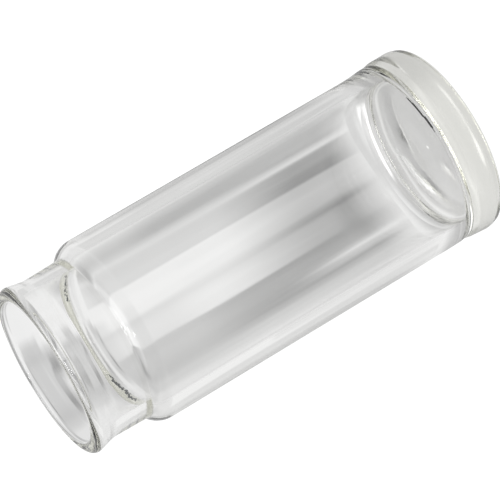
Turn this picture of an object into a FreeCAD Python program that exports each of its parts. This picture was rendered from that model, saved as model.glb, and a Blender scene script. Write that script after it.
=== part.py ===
"""Clear glass guitar slide in the shape of an old medicine bottle, closed at one end.

It is two parts of clear glass, fused all round so that nothing comes apart or moves:

    tube    the wall that the strings are played on, with its open end worked into a shoulder,
            a neck and a rolled lip
    heel    the heavy solid foot that closes the tube, a little wider than the wall above it

Both are bodies of revolution about Z. The slide stands on its heel. The origin is the middle of the
flat ring that it rests on, and +Z runs up the axis to the mouth. All sizes are millimetres.
"""

import FreeCAD
import Part
import math
import os

# Whole slide
total_length = 69.5
wall_radius = 14.3  # outside of the playing surface
cavity_radius = 12.05  # inside of the same wall

# Fused joint: the heel's flat top is the cavity's floor, and the tube's end stands on its rim
joint_height = 5.6
groove_radius = 14.22  # the fusing leaves a shallow groove around the outside
groove_run = 0.9  # how far up the tube the groove fades out
toe = 0.6  # how far the tube's end spreads inwards over the floor
toe_rounding = 1.0

# Heel
heel_radius = 14.75
heel_widest_height = 2.1
heel_top_radius = 14.5
heel_top_height = 4.8
heel_rounding = 2.0
rest_outer_radius = 12.4  # outer edge of the flat ring that the slide stands on
rest_inner_radius = 8.5
push_up = 0.4  # depth of the dish in the middle of the underside
push_up_radius = 5.0  # where the dish becomes level
edge_radius = 14.35  # where the underside's rising edge turns up into the side
edge_height = 0.7
edge_rounding = 1.2

# Shoulder
shoulder_angle = 57.0  # slope of the shoulder, in degrees away from upright
neck_foot_height = 59.96  # where the slope meets the outside of the neck
bore_foot_height = 58.3  # where it meets the finger bore
shoulder_rounding = 3.2

# Neck and lip
neck_foot_radius = 12.7
neck_top_radius = 12.55
flare_foot_height = 65.8
flare_rounding = 6.0
bore_radius = 10.8  # the finger goes in here
bore_top_height = 67.0  # from here up, the mouth widens with the lip
mouth_radius = 11.1
mouth_bevel = 0.55
lip_corner_radius = 13.29  # where the flare would meet the top, before rounding
lip_rounding = 1.1


def point_towards(start, end, distance):
    """The point at a distance from start, on the way to end."""
    return start + (end - start).normalize() * distance


def corner_arc(before, corner, after, radius):
    """Rounds a corner between two straight runs: the arc that touches both, and its two ends."""
    incoming = (corner - before).normalize()
    outgoing = (after - corner).normalize()
    half_turn = incoming.getAngle(outgoing) / 2
    reach = radius * math.tan(half_turn)
    first = point_towards(corner, before, reach)
    last = point_towards(corner, after, reach)
    centre = corner + (outgoing - incoming).normalize() * (radius / math.cos(half_turn))
    middle = point_towards(centre, corner, radius)
    return Part.Arc(first, middle, last).toShape(), first, last


def rounded_outline(corners):
    """A closed wire in the XZ plane through corners of (radius, height, rounding); 0 leaves one sharp."""
    points = [FreeCAD.Vector(radius, 0, height) for radius, height, rounding in corners]
    arcs = []
    arrivals = []
    departures = []
    for index, (radius, height, rounding) in enumerate(corners):
        following = points[(index + 1) % len(points)]
        arc, first, last = None, points[index], points[index]
        if rounding:
            arc, first, last = corner_arc(points[index - 1], points[index], following, rounding)
        arcs.append(arc)
        arrivals.append(first)
        departures.append(last)
    edges = []
    for index, arc in enumerate(arcs):
        if arc:
            edges.append(arc)
        next_arrival = arrivals[(index + 1) % len(arrivals)]
        edges.append(Part.LineSegment(departures[index], next_arrival).toShape())
    return Part.Wire(edges)


def turned(corners):
    """The solid that a rounded outline makes as it turns once about Z."""
    face = Part.Face(rounded_outline(corners))
    return face.revolve(FreeCAD.Vector(0, 0, 0), FreeCAD.Vector(0, 0, 1), 360)


def shoulder_start(wall, neck, neck_height):
    """Height at which the shoulder's slope leaves a wall, to reach a neck at neck_height."""
    return neck_height - (wall - neck) / math.tan(math.radians(shoulder_angle))


def make_tube():
    """Wall, shoulder, neck and rolled lip: a length of tube with one end worked in the flame."""
    outer_start = shoulder_start(wall_radius, neck_foot_radius, neck_foot_height)
    inner_start = shoulder_start(cavity_radius, bore_radius, bore_foot_height)
    outside = [
        (groove_radius, joint_height, 0),
        (wall_radius, joint_height + groove_run, 0),
        (wall_radius, outer_start, shoulder_rounding),
        (neck_foot_radius, neck_foot_height, 0),
        (neck_top_radius, flare_foot_height, flare_rounding),
        (lip_corner_radius, total_length, lip_rounding),
    ]
    inside = [
        (mouth_radius + mouth_bevel, total_length, 0),
        (mouth_radius, total_length - mouth_bevel, 0),
        (bore_radius, bore_top_height, 0),
        (bore_radius, bore_foot_height, 0),
        (cavity_radius, inner_start, 0),
        (cavity_radius, joint_height + toe, toe_rounding),
        (cavity_radius - toe, joint_height, 0),
    ]
    return turned(outside + inside)


def make_heel():
    """Solid foot with a shallow dish underneath and a flat top, which is the cavity's floor."""
    underside = [
        (0, push_up, 0),
        (push_up_radius, push_up, 0),
        (rest_inner_radius, 0, 0),
        (rest_outer_radius, 0, 0),
        (edge_radius, edge_height, edge_rounding),
    ]
    side = [
        (heel_radius, heel_widest_height, heel_rounding),
        (heel_top_radius, heel_top_height, 0),
        (groove_radius, joint_height, 0),
    ]
    return turned(underside + side + [(0, joint_height, 0)])


def save(name, solid):
    """Checks one sub-part, prints its size and writes it as parts/NAME.step."""
    assert solid.ShapeType == "Solid" and solid.isValid() and solid.Volume > 0, name
    box = solid.optimalBoundingBox()
    print(f"{name}: {solid.Volume / 1000:.2f} cm3, {box.XLength:.2f} mm wide, Z {box.ZMin:.2f} to {box.ZMax:.2f}")
    solid.exportStep(os.path.join("parts", name + ".step"))


os.makedirs("parts", exist_ok=True)
save("tube", make_tube())
save("heel", make_heel())
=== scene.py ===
# %% [markdown]
# # A clear glass guitar slide
#
# The slide is a short, heavy glass tube in the shape of an old medicine bottle: a straight wall,
# a shoulder, a narrower neck with a rolled lip, and a thick closed heel. The player puts a finger
# in through the mouth and rubs the wall along the strings.
#
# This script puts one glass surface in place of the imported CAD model, gives it a glass material,
# and stands it on a pale floor in a plain white surround. What the glass itself shows comes from
# shaped cards that only the glass sees, and the cell before the cards says why. Lengths in Blender
# are metres. The shape is written in millimetres, as a glassblower would gauge it, and becomes
# metres when its mesh is made.

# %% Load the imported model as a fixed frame
import math

import bpy
import numpy as np
from mathutils import Matrix, Vector


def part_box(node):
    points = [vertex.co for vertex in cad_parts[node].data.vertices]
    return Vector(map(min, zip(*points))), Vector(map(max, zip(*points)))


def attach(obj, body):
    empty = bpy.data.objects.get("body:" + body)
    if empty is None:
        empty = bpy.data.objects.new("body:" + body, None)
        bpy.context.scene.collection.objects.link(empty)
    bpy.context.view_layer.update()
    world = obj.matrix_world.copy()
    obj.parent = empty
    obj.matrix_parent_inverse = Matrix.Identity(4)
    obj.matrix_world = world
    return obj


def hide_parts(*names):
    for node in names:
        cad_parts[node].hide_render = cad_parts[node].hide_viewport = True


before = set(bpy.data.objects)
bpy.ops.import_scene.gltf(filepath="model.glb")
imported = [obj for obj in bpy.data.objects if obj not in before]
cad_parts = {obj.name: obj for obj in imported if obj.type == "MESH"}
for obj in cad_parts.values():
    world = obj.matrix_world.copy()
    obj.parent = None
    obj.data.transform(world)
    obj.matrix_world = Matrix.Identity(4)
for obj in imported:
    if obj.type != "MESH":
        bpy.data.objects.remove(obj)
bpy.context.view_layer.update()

MM = 0.001
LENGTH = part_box("tube")[1].z / MM
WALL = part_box("tube")[1].x / MM
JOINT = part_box("heel")[1].z / MM
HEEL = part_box("heel")[1].x / MM
print(f"CAD: {LENGTH:.2f} mm long, wall radius {WALL:.2f}, heel radius {HEEL:.2f}, joint at {JOINT:.2f}")

# %% [markdown]
# ## The outline
#
# A glass slide is turned and worked in a flame, so its shape is an outline carried round an axis.
# A curve with a Screw modifier would do that too, but it could not change the outline on its way
# round, and handmade glass is never quite round. So the outline is worked out as arrays: a short
# list of corners, each with the radius that the flame has rounded it to, filled with many points.

# %% Round an outline's corners
def rounded(corners, arc_step=0.09, longest_gap=2.0):
    """Points of an outline through corners of (radius, height, rounding), in millimetres.

    Each corner is replaced by the circular arc that touches the straight runs before and after it:
    the arc starts at rounding * tan(turn / 2) before the corner, and its centre lies on the line
    that halves the corner, at rounding / cos(turn / 2) from it. Straight runs between arcs are
    filled with evenly spaced points, no further apart than longest_gap.
    """
    points = np.array([corner[:2] for corner in corners], float)
    stretches = [points[:1]]
    for index in range(1, len(corners) - 1):
        corner, rounding = points[index], corners[index][2]
        incoming = corner - points[index - 1]
        outgoing = points[index + 1] - corner
        incoming /= np.linalg.norm(incoming)
        outgoing /= np.linalg.norm(outgoing)
        turn = math.acos(np.clip(incoming @ outgoing, -1, 1))
        inward = (outgoing - incoming) / np.linalg.norm(outgoing - incoming)
        centre = corner + inward * rounding / math.cos(turn / 2)
        spoke = corner - incoming * rounding * math.tan(turn / 2) - centre
        angle = np.linspace(0, turn, max(3, int(turn / arc_step) + 2))[:, None]
        stretches.append(centre + spoke * np.cos(angle) + incoming * rounding * np.sin(angle))
    stretches.append(points[-1:])
    filled = []
    for this, following in zip(stretches, stretches[1:]):
        gap = np.linalg.norm(following[0] - this[-1])
        share = np.linspace(0, 1, int(gap / longest_gap) + 2)[1:-1, None]
        filled += [this, this[-1] + (following[0] - this[-1]) * share]
    return np.concatenate(filled + stretches[-1:])


def finer(outline, low, high, longest):
    """The outline with its inner runs between two heights split to pieces no longer than longest.

    A run from p to q becomes p + (q - p) * k / n for k from 0 to n - 1, where n is its length over
    longest, rounded up. The painted dark lines take whole faces, so faces near them have to be small.
    """
    inner = np.arange(len(outline)) > outline[:, 1].argmax()
    points = []
    for index, (this, following) in enumerate(zip(outline, outline[1:])):
        near = inner[index] and min(this[1], following[1]) < high and max(this[1], following[1]) > low
        pieces = math.ceil(np.linalg.norm(following - this) / longest) if near else 1
        points += [this + (following - this) * k / pieces for k in range(pieces)]
    return np.array(points + [outline[-1]])


# %% The slide's own corners, from the middle of the underside to the middle of the cavity's floor
# Radii in millimetres: the outside of the neck, the finger bore and the cavity behind it.
NECK = 12.7
BORE = 10.8
CAVITY = 12.05
# Heights in millimetres: where the bore begins, and where shoulder, neck and flare begin outside.
BORE_FOOT = 59.25
SHOULDER_FOOT = 58.92
NECK_FOOT = 59.96
FLARE_FOOT = 65.8
# Each corner is (radius, height, rounding).
outside = [
    (0, 0.12, 0), (6.0, 0.10, 30), (10.5, 0, 30), (12.4, 0, 4),
    (14.35, 0.7, 1.2), (HEEL, 2.1, 2.0), (14.5, 4.8, 1.5), (14.22, JOINT + 0.3, 0.6), (WALL, 6.9, 2.0),
    (WALL, SHOULDER_FOOT, 3.2), (NECK, NECK_FOOT, 0.25), (12.55, FLARE_FOOT, 6.0), (13.29, LENGTH, 1.1),
]
inside = [
    (11.1, LENGTH, 0.85), (BORE, 67.0, 4.0), (BORE, BORE_FOOT, 0.45),
    (CAVITY, 57.5, 2.5), (CAVITY, JOINT, 1.1), (0, JOINT, 0),
]
outline = rounded(outside + inside)
outline = finer(outline, low=BORE_FOOT - 0.8, high=BORE_FOOT + 1.0, longest=0.12)
widest, highest = outline.max(axis=0)
print(f"outline: {len(outline)} points, radius up to {widest:.2f}, height up to {highest:.2f}")

# %% [markdown]
# ## Carrying the outline round
#
# Each ring of the surface is one point of the outline, carried round the axis. The first and last
# points are on the axis, so each of them is a single vertex with a fan of triangles, which leaves
# no hole and no pinched ring at the poles.

# %% A closed surface from an outline and its unevenness
# Points round each ring.
AROUND = 384


def grid_faces(shape, closed=False):
    """Quads between neighbours on a grid of vertices. If closed, its last column meets its first."""
    here = np.arange(shape[0] * shape[1]).reshape(shape)
    beside = np.roll(here, -1, axis=1)
    if not closed:
        here = here[:, :-1]
        beside = beside[:, :-1]
    return np.stack([here[:-1], beside[:-1], beside[1:], here[1:]], axis=-1).reshape(-1, 4)


def turned_surface(outline, uneven):
    """A closed mesh: x = r * cos(a), y = r * sin(a), z = h, over outline points (r, h) and angles a.

    uneven(r, h, inner, a) gives the radii and heights after the hand's unevenness, as arrays, where
    inner is 0 outside and 1 in the bore and the cavity. The two end points stay on the axis.
    """
    inner = np.arange(len(outline)) > outline[:, 1].argmax()
    angle = np.linspace(0, 2 * np.pi, AROUND, endpoint=False)
    ring, spoke = np.meshgrid(np.arange(1, len(outline) - 1), angle, indexing="ij")
    r, h = uneven(outline[ring, 0], outline[ring, 1], inner[ring], spoke)
    points = np.stack([r * np.cos(spoke), r * np.sin(spoke), h], axis=-1).reshape(-1, 3)
    poles = np.array([[0, 0, h[0].mean()], [0, 0, h[-1].mean()]])
    vertices = np.concatenate([points, poles]) * MM
    here = np.arange(len(points)).reshape(ring.shape)
    beside = np.roll(here, -1, axis=1)
    quads = grid_faces(ring.shape, closed=True)
    first, last = len(points), len(points) + 1
    start_fan = np.stack([np.full(AROUND, first), beside[0], here[0]], axis=-1)
    end_fan = np.stack([np.full(AROUND, last), here[-1], beside[-1]], axis=-1)
    return vertices, [start_fan, quads, end_fan]


def mesh_of(name, vertices, face_groups):
    """A smooth mesh object from vertex positions and groups of faces with equal corner counts."""
    mesh = bpy.data.meshes.new(name)
    sizes = np.concatenate([np.full(len(group), group.shape[1]) for group in face_groups])
    corners = np.concatenate([group.ravel() for group in face_groups])
    mesh.vertices.add(len(vertices))
    mesh.vertices.foreach_set("co", vertices.astype(np.float32).ravel())
    mesh.loops.add(len(corners))
    mesh.loops.foreach_set("vertex_index", corners.astype(np.int32))
    mesh.polygons.add(len(sizes))
    starts = np.concatenate([[0], np.cumsum(sizes)[:-1]])
    mesh.polygons.foreach_set("loop_start", starts.astype(np.int32))
    mesh.polygons.foreach_set("use_smooth", np.ones(len(sizes), bool))
    mesh.update(calc_edges=True)
    mesh.validate()
    piece = bpy.data.objects.new(name, mesh)
    bpy.context.scene.collection.objects.link(piece)
    return piece


# %% [markdown]
# ## The hand's unevenness
#
# A drawn tube is never perfectly round, its wall is a little thicker on one side, and the lip and
# the heel are worked by eye. These small errors bend light a lot, and they are what makes clear
# glass look like glass instead of like a lens.

# %% Unevenness as smooth waves
# The seed, so that every run makes the same slide.
chance = np.random.default_rng(12)


def smooth(value, start, end):
    """Rises smoothly from 0 at start to 1 at end: 3 * x ** 2 - 2 * x ** 3, with x limited to 0 to 1."""
    x = np.clip((value - start) / (end - start), 0, 1)
    return x * x * (3 - 2 * x)


def bell(value, middle, width):
    """A bell curve: exp(-((value - middle) / width) ** 2)."""
    return np.exp(-(((value - middle) / width) ** 2))


def ripple(a, length, around, per_mm, waves=8):
    """A sum of cos(turns * a + phase + twist * length), mostly between -1 and 1.

    turns is a whole number, so that the waves close round the turn, and lies between the two values
    of around. per_mm is the most waves for each millimetre of length. The sum of n such waves is
    about the square root of n high, which the last line divides out, and 1.5 leaves headroom.
    """
    total = 0 * a
    for _ in range(waves):
        turns = chance.integers(around[0], around[1] + 1)
        phase = chance.uniform(0, 2 * np.pi)
        twist = 2 * np.pi * chance.uniform(-per_mm, per_mm)
        total = total + np.cos(turns * a + phase + twist * length)
    return total / waves ** 0.5 / 1.5


def floor_waves(x, y, waves=7):
    """A sum of cos(2 * pi * per_mm * distance + phase) over random ways across the slide."""
    total = 0 * x
    for _ in range(waves):
        way = chance.uniform(0, np.pi)
        per_mm = chance.uniform(0.04, 0.14)
        phase = chance.uniform(0, 6)
        total = total + np.cos(2 * np.pi * per_mm * (x * np.cos(way) + y * np.sin(way)) + phase)
    return total / waves ** 0.5


# How far each unevenness moves the glass, in millimetres.
DRAW_LINE = 0.004
SLOW_WAVE = 0.03
HEEL_SHIFT = 0.12
GROOVE_FILLING = 0.24
LIP_EXTRA = 0.14
FLOOR_WAVE = 0.10
UNDERSIDE_WAVE = 0.05


def uneven(r, h, inner, a):
    """The outline's radii and heights with the hand's unevenness added, in millimetres.

    The radius gains fine lines from drawing the tube, a slow wave, a heel that sits off centre, a
    groove that is filled in on one side and a lip that is thicker on one side. The height gains
    waves on the cavity's floor and, half as deep, on the underside.
    """
    wall = smooth(h, 9, 20) * (1 - smooth(h, 46, 56))
    draw_lines = ripple(a, h, (14, 50), 0.004, 12) * DRAW_LINE * inner * wall
    slow = ripple(a, h, (2, 7), 0.02) * SLOW_WAVE * smooth(h, 3, 12)
    heel = smooth(h, 8, 5) * (1 - inner)
    off_centre = HEEL_SHIFT * np.cos(a) * heel
    filled_groove = GROOVE_FILLING * bell(h, 6.1, 2.4) * smooth(np.cos(a), -0.3, 0.8) * (1 - inner)
    lip = LIP_EXTRA * (1 - np.cos(a)) * bell(h, LENGTH, 1.6) * (1 - inner)
    radius = r + draw_lines + slow + off_centre + filled_groove + lip
    waves = floor_waves(r * np.cos(a), r * np.sin(a))
    on_floor = inner * smooth(h, JOINT + 1.0, JOINT + 0.1)
    under = (1 - inner) * smooth(h, 0.6, 0.2) * (1 - smooth(r, 6, 8.5))
    depth = FLOOR_WAVE * on_floor * (1 - smooth(r, 8.5, 11.3)) + UNDERSIDE_WAVE * under
    return radius, h + waves * depth


# %% The slide's surface
vertices, faces = turned_surface(outline, uneven)
slide = mesh_of("glass_slide", vertices, faces)
triangles = sum(len(group) * (group.shape[1] - 2) for group in faces)
print(f"glass_slide: {triangles} triangles")

# %% [markdown]
# ## Glass
#
# The real slide is most likely clear soda-lime glass, the glass of bottles and jars, fire-polished:
# its skin is smoothed by the flame and not by a wheel. A Glass shader would look the same, but
# Principled with full transmission is the one that an exported model keeps. The tint is a volume,
# because a thick heel is darker than a thin wall of the same glass.

# %% A colour helper and a node helper
def linear(hex_colour):
    """sRGB hex to a linear RGBA colour: c / 12.92 below 0.04045, else ((c + 0.055) / 1.055) ** 2.4."""
    channels = [int(hex_colour[k : k + 2], 16) / 255 for k in (1, 3, 5)]
    return [c / 12.92 if c <= 0.04045 else ((c + 0.055) / 1.055) ** 2.4 for c in channels] + [1.0]


def add_node(tree, kind, settings=None, links=None, **properties):
    """Adds a node, sets its properties and its sockets' values, and links sockets from other nodes."""
    node = tree.nodes.new(kind)
    for name, value in properties.items():
        setattr(node, name, value)
    for socket, value in (settings or {}).items():
        node.inputs[socket].default_value = value
    for socket, source in (links or {}).items():
        tree.links.new(source, node.inputs[socket])
    return node


def new_material(name):
    """An empty node material and its tree."""
    material = bpy.data.materials.new(name)
    material.use_nodes = True
    material.node_tree.nodes.clear()
    return material, material.node_tree


# %% Fire-polished soda-lime glass
# To the eye: clear and sharp at the wall, faintly grey and warm where it is thick, a little dull at
# the foot. Noise scales are waves for each metre.
glass, tree = new_material("soda_lime_glass_fire_polished")
where = add_node(tree, "ShaderNodeTexCoord")
axes = add_node(tree, "ShaderNodeSeparateXYZ", links={"Vector": where.outputs["Object"]})
place = {"Vector": where.outputs["Object"]}
# Cords: streaks in the melt, about 2 mm wide and 30 mm long, in a relief 0.02 mm deep.
stretched = add_node(tree, "ShaderNodeMapping", {"Scale": (1, 1, 0.06)}, place)
cords = add_node(tree, "ShaderNodeTexNoise", {"Scale": 500.0, "Detail": 2.0},
                 {"Vector": stretched.outputs[0]})
relief = add_node(tree, "ShaderNodeBump", {"Strength": 0.16, "Distance": 0.02 * MM},
                  {"Height": cords.outputs[0]})
# Film: dull patches from handling, about 11 mm across.
patches = add_node(tree, "ShaderNodeTexNoise", {"Scale": 90.0, "Detail": 5.0, "Roughness": 0.6}, place)
film = add_node(tree, "ShaderNodeMapRange",
                {"From Min": 0.56, "From Max": 0.78, "To Min": 0.0, "To Max": 0.10},
                {"Value": patches.outputs[0]})
# Wear: the lowest 7 mm of the heel are slightly frosted, in bands about 6 mm long and 1 mm high.
flow = add_node(tree, "ShaderNodeMapping", {"Scale": (1, 1, 5)}, place)
brushed = add_node(tree, "ShaderNodeTexNoise", {"Scale": 160.0, "Detail": 3.0, "Distortion": 0.8},
                   {"Vector": flow.outputs[0]})
frost = add_node(tree, "ShaderNodeMapRange",
                 {"From Min": 7.0 * MM, "From Max": 4.2 * MM, "To Min": 0.0, "To Max": 0.16},
                 {"Value": axes.outputs["Z"]})
worn = add_node(tree, "ShaderNodeMath", links={0: frost.outputs[0], 1: brushed.outputs[0]},
                operation="MULTIPLY")
rough = add_node(tree, "ShaderNodeMath", links={0: worn.outputs[0], 1: film.outputs[0]}, operation="ADD")
body = add_node(tree, "ShaderNodeBsdfPrincipled",
                {"Base Color": linear("#ffffff"), "IOR": 1.5, "Transmission Weight": 1.0},
                {"Roughness": rough.outputs[0], "Normal": relief.outputs[0]})
tint = add_node(tree, "ShaderNodeVolumeAbsorption", {"Color": linear("#f0f0e6"), "Density": 20.0})
add_node(tree, "ShaderNodeOutputMaterial", links={"Surface": body.outputs[0], "Volume": tint.outputs[0]})
slide.data.materials.append(glass)
print(f"{glass.name}: {len(tree.nodes)} nodes")

# %% [markdown]
# ## Dark lines
#
# Two jagged lines at the foot of the bore are painted dark reflection: on the real slide they are
# most likely dark surroundings seen by total reflection inside the glass. They are drawn like a
# rough break in glass, which holds grime and shows nearly black. Whether the real slide has any
# chipping there isn't certain. Breaks could be cut into the surface, but ones a few tenths of a
# millimetre across would take far more faces, so whole small faces take a second material. A
# third, smooth line lies in the corner of the cavity's floor.
# It is painted shade as well: on the real slide it is most likely dark surroundings bent by the
# rounded corner. The lights here don't give it, so it is drawn on the glass, and it can be left out
# by making its mask false everywhere.

# %% Painted dark lines: dark reflection and shade, drawn as rough glass with grime
# To the eye: matt and nearly black, with lighter grains a quarter of a millimetre across.
# The second material is painted dark reflection and shade, made to look like grime in rough glass.
painted_dark, tree = new_material("glass_painted_dark_lines")
spots = add_node(tree, "ShaderNodeTexCoord")
grains = add_node(tree, "ShaderNodeTexNoise", {"Scale": 4000.0, "Detail": 2.0},
                  {"Vector": spots.outputs["Object"]})
shades = add_node(tree, "ShaderNodeValToRGB", links={"Fac": grains.outputs[0]})
shades.color_ramp.elements[0].color = linear("#08090a")
shades.color_ramp.elements[1].color = linear("#55585a")
dull = add_node(tree, "ShaderNodeBsdfPrincipled", {"Roughness": 0.55}, {"Base Color": shades.outputs[0]})
add_node(tree, "ShaderNodeOutputMaterial", links={"Surface": dull.outputs[0]})
slide.data.materials.append(painted_dark)

# Length of one step of the painted jagged line along the bore's foot, in millimetres, and how many
# differ before they repeat.
JAG_STEP_LENGTH = 0.36
JAG_STEPS = 211


def dark_line_mask(face_centres):
    """Which faces take the dark material. Angles are in radians, from +X towards +Y.

    The jagged line, painted dark reflection, steps up and down at random along the bore's foot, on
    two stretches, about the angles 0.45 and 2.50. The smooth line, painted shade, climbs round the
    corner of the cavity's floor, about the angle -1.21. Each takes the faces within a half width of it.
    """
    x, y, z = face_centres.T / MM
    turned = np.arctan2(y, x)
    step = np.floor(turned * BORE / JAG_STEP_LENGTH).astype(int) % JAG_STEPS
    line = BORE_FOOT + 0.10 + 0.12 * np.cos(9 * turned) + 0.13 * chance.standard_normal(JAG_STEPS)[step]
    half_width = 0.16 * smooth(0.42 - np.abs(turned - 0.45), 0, 0.1)
    half_width = half_width + 0.26 * smooth(0.50 - np.abs(turned - 2.50), 0, 0.2)
    # Painted dark reflection: a jagged dark line on two stretches of the bore's foot.
    jag_line_mask = np.abs(z - line) < half_width * (0.7 + 0.5 * chance.random(JAG_STEPS)[step]) - 0.02
    # Painted shade: a smooth dark line round the corner of the cavity's floor.
    crease_line = JOINT + 0.72 + 0.35 * (turned + 1.54)
    crease_shade = np.abs(z - crease_line) < 0.15 * smooth(0.34 - np.abs(turned + 1.21), 0, 0.22) - 0.01
    radius = np.hypot(x, y)
    return (jag_line_mask & (radius < CAVITY - 0.2)) | (crease_shade & (radius < CAVITY + 0.05))


centres = np.empty(len(slide.data.polygons) * 3)
slide.data.polygons.foreach_get("center", centres)
painted_dark_faces = dark_line_mask(centres.reshape(-1, 3))
slide.data.polygons.foreach_set("material_index", painted_dark_faces.astype(np.int32))
print(f"chipped faces: {painted_dark_faces.sum()}")

# %% The slide in place of the CAD's two nodes
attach(slide, "root")
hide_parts("tube", "heel")

# %% [markdown]
# ## Floor
#
# The slide stands on white paper. A plain matt square is enough. It lies a hair below the heel, so
# that two faces never share a place. The glass doesn't see it: it sees the cards below instead.

# %% Floor
def flat_square(size, height):
    """A flat square, size metres a side, at a height in metres."""
    corners = np.array([[-1, -1], [1, -1], [1, 1], [-1, 1]]) * size / 2
    return np.column_stack([corners, np.full(4, height)]), [np.array([[0, 1, 2, 3]])]


# Both in metres.
FLOOR_SIZE = 8.0
FLOOR_DROP = 0.05 * MM
floor = mesh_of("studio_floor", *flat_square(FLOOR_SIZE, -FLOOR_DROP))
paper, tree = new_material("white_paper_floor")
matt = add_node(tree, "ShaderNodeBsdfDiffuse", {"Color": linear("#f7f7f7")})
add_node(tree, "ShaderNodeOutputMaterial", links={"Surface": matt.outputs[0]})
floor.data.materials.append(paper)
floor.visible_glossy = floor.visible_transmission = False
print(f"floor: {FLOOR_SIZE:.0f} m a side, {FLOOR_DROP / MM:.2f} mm below the heel")

# %% [markdown]
# ## Cards that only the glass sees
#
# Clear glass has no look of its own: it shows bent pictures of what is round it. The real
# surroundings aren't known, and the light here isn't a plain soft studio. Cards on the ground, a
# dome and three lamps glow more in one place than in another, by formulas whose numbers were set
# until the streaks in the glass came out like the real slide's from its front. So the streaks come
# from the cards and say nothing about the glass. An environment picture could do much of it, but
# it lies infinitely far off, and much of what the glass shows is ground close to the slide.
#
# All the numbers below are lengths in millimetres, angles in degrees, or brightness, where 1 is
# white. turn is the angle round from the far side, +Y, towards +X.

# %% Streaks on the ground behind the slide
def reach(level):
    """How far past the near circle a ray meets the ground: level / (0.333 - 0.0019 * level).

    level is how high the ray is when it is over that circle, and the bracket is its slope.
    """
    return level / (0.333 - 0.0019 * level)


def strips(turn, level):
    """How bright the ground behind the slide is: sums of smooth steps and bells in turn and level.

    A streak in the middle, two flanks, a brighter ground close to the slide, and far_ground beyond.
    The darker streaks are painted shadow of the slide, and the bright lines painted light that the
    glass gathers onto the ground. Left is towards +X and right towards -X, as the rolled camera sees them.
    """
    up = smooth(level, 0, 20)
    # The middle streak: a left and a right half, with a thin dark line between them.
    left = 0.49 + 0.37 * up
    right = 0.41 + 0.41 * smooth(level, 0, 24) - 0.08 * smooth(level, 24, 34) - 0.08 * bell(level, -3, 2.5)
    middle = right + (left - right) * smooth(turn, -1.8, 1.6) - (0.15 - 0.08 * up) * bell(turn, -0.4, 0.7)
    middle = middle + 0.03 * bell(np.abs(turn), 3.6, 2)
    # The left flank: dark, with one bright line, then even and brighter outwards.
    flank_left = 0.26 + 0.42 * up + (0.08 - 0.12 * up) * smooth(turn, 8.5, 12)
    flank_left = flank_left + (0.42 - 0.34 * up) * bell(turn, 15.4, 1.3)
    flank_left = flank_left + (0.45 - flank_left) * smooth(turn, 14, 20) * (1 - 0.6 * smooth(level, 27, 36))
    flank_left = flank_left - 0.05 * up * bell(turn, 22, 3) + 0.30 * smooth(turn, 26, 42)
    # The right flank: darker for longer, with its bright line only near the slide.
    flank_right = 0.33 + 0.07 * up + 0.15 * smooth(level, 16, 32) + 0.02 * smooth(-turn, 8, 9)
    flank_right = flank_right - 0.06 * up * smooth(-turn, 8, 15)
    flank_right = flank_right + 0.40 * (1 - smooth(level, -2, 14)) * bell(turn, -12.7, 1.7)
    flank_right = flank_right + (0.60 - flank_right) * smooth(-turn, 15.5, 21)
    flank_right = flank_right + 0.20 * smooth(-turn, 22, 34) - 0.07 * smooth(-turn, 32, 40)
    # The three together.
    flank = np.where(turn > 0, flank_left, flank_right)
    centre = smooth(turn, -6.7, -5.8) * (1 - smooth(turn, 6.6, 7.6))
    strip = flank + (middle - flank) * centre
    strip = strip + (0.90 - strip) * smooth(-level, 4, 14) * (1 - smooth(np.abs(turn), 18, 40))
    return strip + (far_ground(turn, reach(level)) - strip) * smooth(level, 38, 48)


def far_ground(turn, out):
    """How bright the ground is further off, out millimetres past the near circle.

    Only rays through the neck and the mouth reach it. It is an even part, less a dark crescent
    between near_edge and far_edge, plus a glow at two spots on the crescent's near side.
    """
    even = 0.62 + 0.25 * smooth(turn, 4.2, 7) + 0.14 * smooth(-turn, 12, 18)
    even = even - 0.05 * bell(turn, 2.5, 1.3) - 0.07 * bell(turn, -9, 2.5)
    even = even + 0.22 * bell(turn, 4.4, 1.4) * (1 - smooth(out, 270, 340))
    even = even + 0.05 * smooth(out, 400, 470) * bell(turn, -2, 3)
    depth = 0.09 + 0.17 * bell(turn, 0.2, 1.3) + 0.19 * bell(turn, -6, 2.2)
    near_edge = smooth(out, 214 + 4 * smooth(-turn, 0.5, 2.5), 223 + 12 * smooth(-turn, 0.5, 2.5))
    widest = 232 + 30 * np.clip(0.6 - turn, 0, 2.6)
    far_edge = 1 - smooth(out, widest - 10, widest + 50)
    crescent = near_edge * far_edge * smooth(turn, -11.5, -8) * (1 - smooth(turn, 1.2, 3))
    glow = 0.20 * bell(out, 221, 5) * bell(turn, -3.2, 1.6) + 0.18 * bell(out, 218, 5) * bell(turn, 5, 1.5)
    return even - depth * crescent + glow


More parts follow.
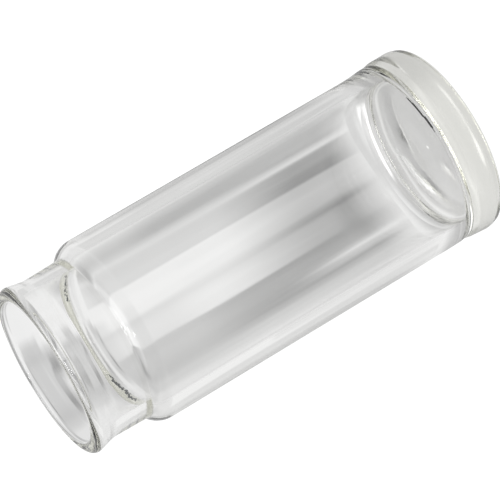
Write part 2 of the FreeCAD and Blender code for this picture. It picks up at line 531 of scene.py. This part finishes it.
# %% The rest of the ground
def ground(turn, radius):
    """How bright the ground is round the slide, at a radius from its axis.

    From the middle outwards: under the cavity, mid grey with a brighter ring. Under the heel's edge
    and close to it, darker, a painted shadow of the slide, with a bright arc and a dark arc at the
    wall's foot. Beyond that, even, darker on the far side towards +X, and the same all round from
    600 mm on.
    """
    side = smooth(np.sin(np.radians(turn)), -0.25, 0.1) * smooth(np.cos(np.radians(turn)), -0.35, 0.2)
    around = 0.89 - 0.19 * side
    around = around + (0.80 - around) * smooth(radius, 350, 600)
    across = radius * np.sin(np.radians(turn))
    under = 0.55 + 0.11 * smooth(-across, 2, 10)
    under = under + 0.24 * smooth(radius, 12.4, 13.0) * (1 - smooth(radius, 13.4, 14.2))
    wall_foot = smooth(radius, 19.0, 20.5) * (1 - smooth(radius, 28.0, 30.5))
    foot = 0.54 + 0.12 * side + 0.75 * wall_foot * smooth(turn, -8, 2) * (1 - smooth(turn, 30, 38))
    foot = foot - 0.20 * wall_foot * smooth(turn, 38, 46) * (1 - smooth(turn, 100, 120))
    foot = foot + 0.18 * side * bell(radius, 31, 2) * bell(turn, 15, 20)
    inside = under + (foot - under) * smooth(radius, 15.0, 17.0)
    return inside + (around - inside) * smooth(radius, 31, 36)


# %% The ground's two kinds of mesh
# Radius of the near circle, where the rays that have crossed the slide are closest together.
NEAR = 67.0


def fan(toward, widest, lift, height, rows, columns, calm):
    """Strips on the ground that spread away from the slide like the rays that have crossed it.

    A strip q degrees round the near circle runs on in the direction d, where
    tan(d) = q * (0.0075 + 0.00014 * |q|): its points are NEAR * (sin q, cos q) + reach * (sin d, cos d).
    The whole fan is turned by toward degrees. Its brightness is that of strips, mixed with the
    even ground by lift, and more so at its two sides and from calm millimetres out.
    """
    levels = np.concatenate([np.linspace(-11, 40, rows), np.linspace(40.4, 100, rows // 2)])
    level, turn = np.meshgrid(levels, np.linspace(-widest, widest, columns), indexing="ij")
    q = np.radians(turn)
    d = np.arctan(turn * (0.0075 + 0.00014 * np.abs(turn)))
    x = NEAR * np.sin(q) + reach(level) * np.sin(d)
    y = NEAR * np.cos(q) + reach(level) * np.cos(d)
    c, s = math.cos(math.radians(toward)), math.sin(math.radians(toward))
    points = np.stack([x * c + y * s, y * c - x * s, 0 * x + height], axis=-1).reshape(-1, 3)
    brightness = strips(turn, level)
    even = ground(toward + np.degrees(np.arctan2(x, y)), np.hypot(x, y))
    fade = np.maximum(smooth(np.abs(turn), widest - 3, widest), smooth(reach(level), calm, 1.3 * calm))
    brightness = brightness + (even - brightness) * np.maximum(lift, fade)
    return points, grid_faces(x.shape), brightness.ravel()


def disc(height):
    """Rings on the ground: x = r * sin(turn), y = r * cos(turn), from r = 0.3 mm out to 900 mm."""
    radius = np.concatenate([np.linspace(0.3, 40, 100), np.geomspace(41, 900, 30)])
    r, turn = np.meshgrid(radius, np.linspace(-180, 180, 180, endpoint=False), indexing="ij")
    points = np.stack([r * np.sin(np.radians(turn)), r * np.cos(np.radians(turn)), 0 * r + height], axis=-1)
    return points.reshape(-1, 3), grid_faces(r.shape, closed=True), ground(turn, r).ravel()


# %% The dome and the lamps
DOME_RADIUS = 850


def sky(turn, up):
    """How bright the dome is, up degrees above the horizon.

    Even near the horizon and a little darker behind, with a brighter band about 31 degrees up, one
    dark patch above it on one side, and a bright top.
    """
    behind = smooth(np.abs(turn), 100, 125) * (1 - smooth(up, 35, 50))
    even = 0.80 - 0.08 * smooth(up, 3, 9) + 0.07 * smooth(up, 10, 17) - 0.12 * behind
    even = even - 0.14 * smooth(-turn, 10, 32) * (1 - smooth(up, 28, 32)) * smooth(up, 10, 17) * (1 - behind)
    even = even + 0.35 * bell(up, 31, 4) * (1 - behind)
    dark = smooth(turn, -80, -60) * (1 - smooth(turn, 0, 15)) * smooth(up, 32, 38)
    return (even + 2.2 * smooth(up, 54, 62)) * (1 - 0.85 * dark)


def dome():
    """A dome over the ground: R * (cos(up) * sin(turn), cos(up) * cos(turn), sin(up))."""
    around = np.linspace(-180, 180, 180, endpoint=False)
    up, turn = np.meshgrid(np.linspace(-1, 89.5, 120), around, indexing="ij")
    u, t = np.radians(up), np.radians(turn)
    points = DOME_RADIUS * np.stack([np.cos(u) * np.sin(t), np.cos(u) * np.cos(t), np.sin(u)], axis=-1)
    # Corners in the opposite order, so that the faces point outwards.
    quads = grid_faces(up.shape, closed=True)[:, [0, 3, 2, 1]]
    return points.reshape(-1, 3), quads, sky(turn, up).ravel()


# Height, length, width and brightness of a lamp panel, and where the panels' middles are.
LAMP_HEIGHT = 700.0
LAMP_LENGTH = 64.0
LAMP_WIDTH = 40.0
LAMP_BRIGHTNESS = 24.0
LAMP_PLACES = [(0, -60), (-58, -170), (-140, -370)]


def lamp_panels():
    """Flat lamp panels overhead: middle plus or minus half the length and half the width."""
    corners = np.array([[-1, -1], [1, -1], [1, 1], [-1, 1]]) * [LAMP_LENGTH / 2, LAMP_WIDTH / 2]
    flat = (np.array(LAMP_PLACES)[:, None] + corners).reshape(-1, 2)
    points = np.column_stack([flat, np.full(len(flat), LAMP_HEIGHT)])
    return points, np.arange(len(points)).reshape(-1, 4), np.full(len(points), LAMP_BRIGHTNESS)


# %% Cards made of those parts
def glass_only(name, *parts):
    """One mesh of several parts that glows with its own painted brightness, seen only by rays from the glass.
    """
    vertices, faces, brightness, count = [], [], [], 0
    for points, quads, values in parts:
        vertices.append(points)
        faces.append(quads + count)
        brightness.append(values)
        count += len(points)
    card = mesh_of(name, np.concatenate(vertices) * MM, [np.concatenate(faces)])
    attribute = card.data.attributes.new("glow", "FLOAT", "POINT")
    attribute.data.foreach_set("value", np.concatenate(brightness).astype(np.float32))
    card.data.materials.append(painted_glow)
    card.visible_camera = card.visible_diffuse = card.visible_shadow = False
    return card


# The cards' glow is painted light and shade: their bright and dark places stand for light and shadow round
# the slide.
painted_glow, tree = new_material("card_painted_light_and_shade")
level = add_node(tree, "ShaderNodeAttribute", attribute_name="glow")
shine = add_node(tree, "ShaderNodeEmission", {"Color": linear("#ffffff")}, {"Strength": level.outputs["Fac"]})
add_node(tree, "ShaderNodeOutputMaterial", links={"Surface": shine.outputs[0]})
# The widest fan lies behind the slide, and seven paler ones lie every 45 degrees round it. Each lies
# a little lower than the one before, so that no two share a place.
coarse = {"rows": 60, "columns": 120, "calm": 60}
fans = [fan(0, widest=48, lift=0.0, height=-0.01, rows=240, columns=360, calm=520)]
fans += [fan(45, widest=23, lift=0.8, height=-0.02, **coarse)]
fans += [fan(-45, widest=23, lift=0.8, height=-0.022, **coarse)]
fans += [fan(45 * k, widest=23, lift=0.5, height=-0.022 - 0.002 * k, **coarse) for k in range(2, 7)]
ground_cards = glass_only("ground_cards", disc(-0.04), *fans)
light_dome = glass_only("light_dome", dome())
lamps = glass_only("tube_lamps", lamp_panels())
# The slide throws no shadow and no light on the floor.
slide.visible_diffuse = slide.visible_shadow = False
for card in (ground_cards, light_dome, lamps):
    print(f"{card.name}: {len(card.data.polygons)} faces")

# %% [markdown]
# ## Surround
#
# A plain white surround lights the paper evenly. Glass needs many bounces, because a ray crosses
# four surfaces or more on its way through the slide and is thrown back inside the heel.

# %% World
SURROUND_BRIGHTNESS = 1.2
world = bpy.data.worlds.new("studio")
bpy.context.scene.world = world
world.use_nodes = True
world.node_tree.nodes.clear()
surround = add_node(world.node_tree, "ShaderNodeBackground",
                    {"Color": linear("#ffffff"), "Strength": SURROUND_BRIGHTNESS})
add_node(world.node_tree, "ShaderNodeOutputWorld", links={"Surface": surround.outputs[0]})
bpy.context.scene.view_settings.view_transform = "Standard"
bpy.context.scene.cycles.max_bounces = 32
bpy.context.scene.cycles.transmission_bounces = 32
bpy.context.scene.cycles.glossy_bounces = 16
print(f"surround: brightness {SURROUND_BRIGHTNESS}, up to {bpy.context.scene.cycles.max_bounces} bounces")

# %% [markdown]
# ## Camera
#
# The camera stands in front of the slide and looks down on it a little, and it is rolled, so that
# the slide's axis lies slanting across the frame. A long lens keeps the two ends nearly equal.
# Its matrix is built from its three directions, which is surer than turning it by angles.

# %% Camera
# How far down it looks, how far off it is in metres, and which way the slide's axis points on the
# screen, clockwise from up. The lens is in millimetres.
ELEVATION = math.radians(17.05)
DISTANCE = 0.42035
AXIS_ON_SCREEN = math.radians(210.6)
LENS = 212.8
camera_data = bpy.data.cameras.new("camera")
camera_data.sensor_width = 36.0
camera_data.lens = LENS
camera = bpy.data.objects.new("camera", camera_data)
bpy.context.scene.collection.objects.link(camera)
bpy.context.scene.camera = camera
forward = np.array([0, math.cos(ELEVATION), -math.sin(ELEVATION)])
level_right = np.array([1.0, 0, 0])
level_up = np.cross(level_right, forward)
right = math.sin(AXIS_ON_SCREEN) * level_right + math.cos(AXIS_ON_SCREEN) * level_up
up = np.cross(right, forward)
target = np.array([0.21, 0, LENGTH / 2]) * MM
stand = target - forward * DISTANCE
turned = Matrix(np.column_stack([right, up, -forward]).tolist()).to_4x4()
camera.matrix_world = Matrix.Translation(Vector(stand)) @ turned
print(f"camera at {stand[0]:.3f}, {stand[1]:.3f}, {stand[2]:.3f} m, {LENS} mm lens")
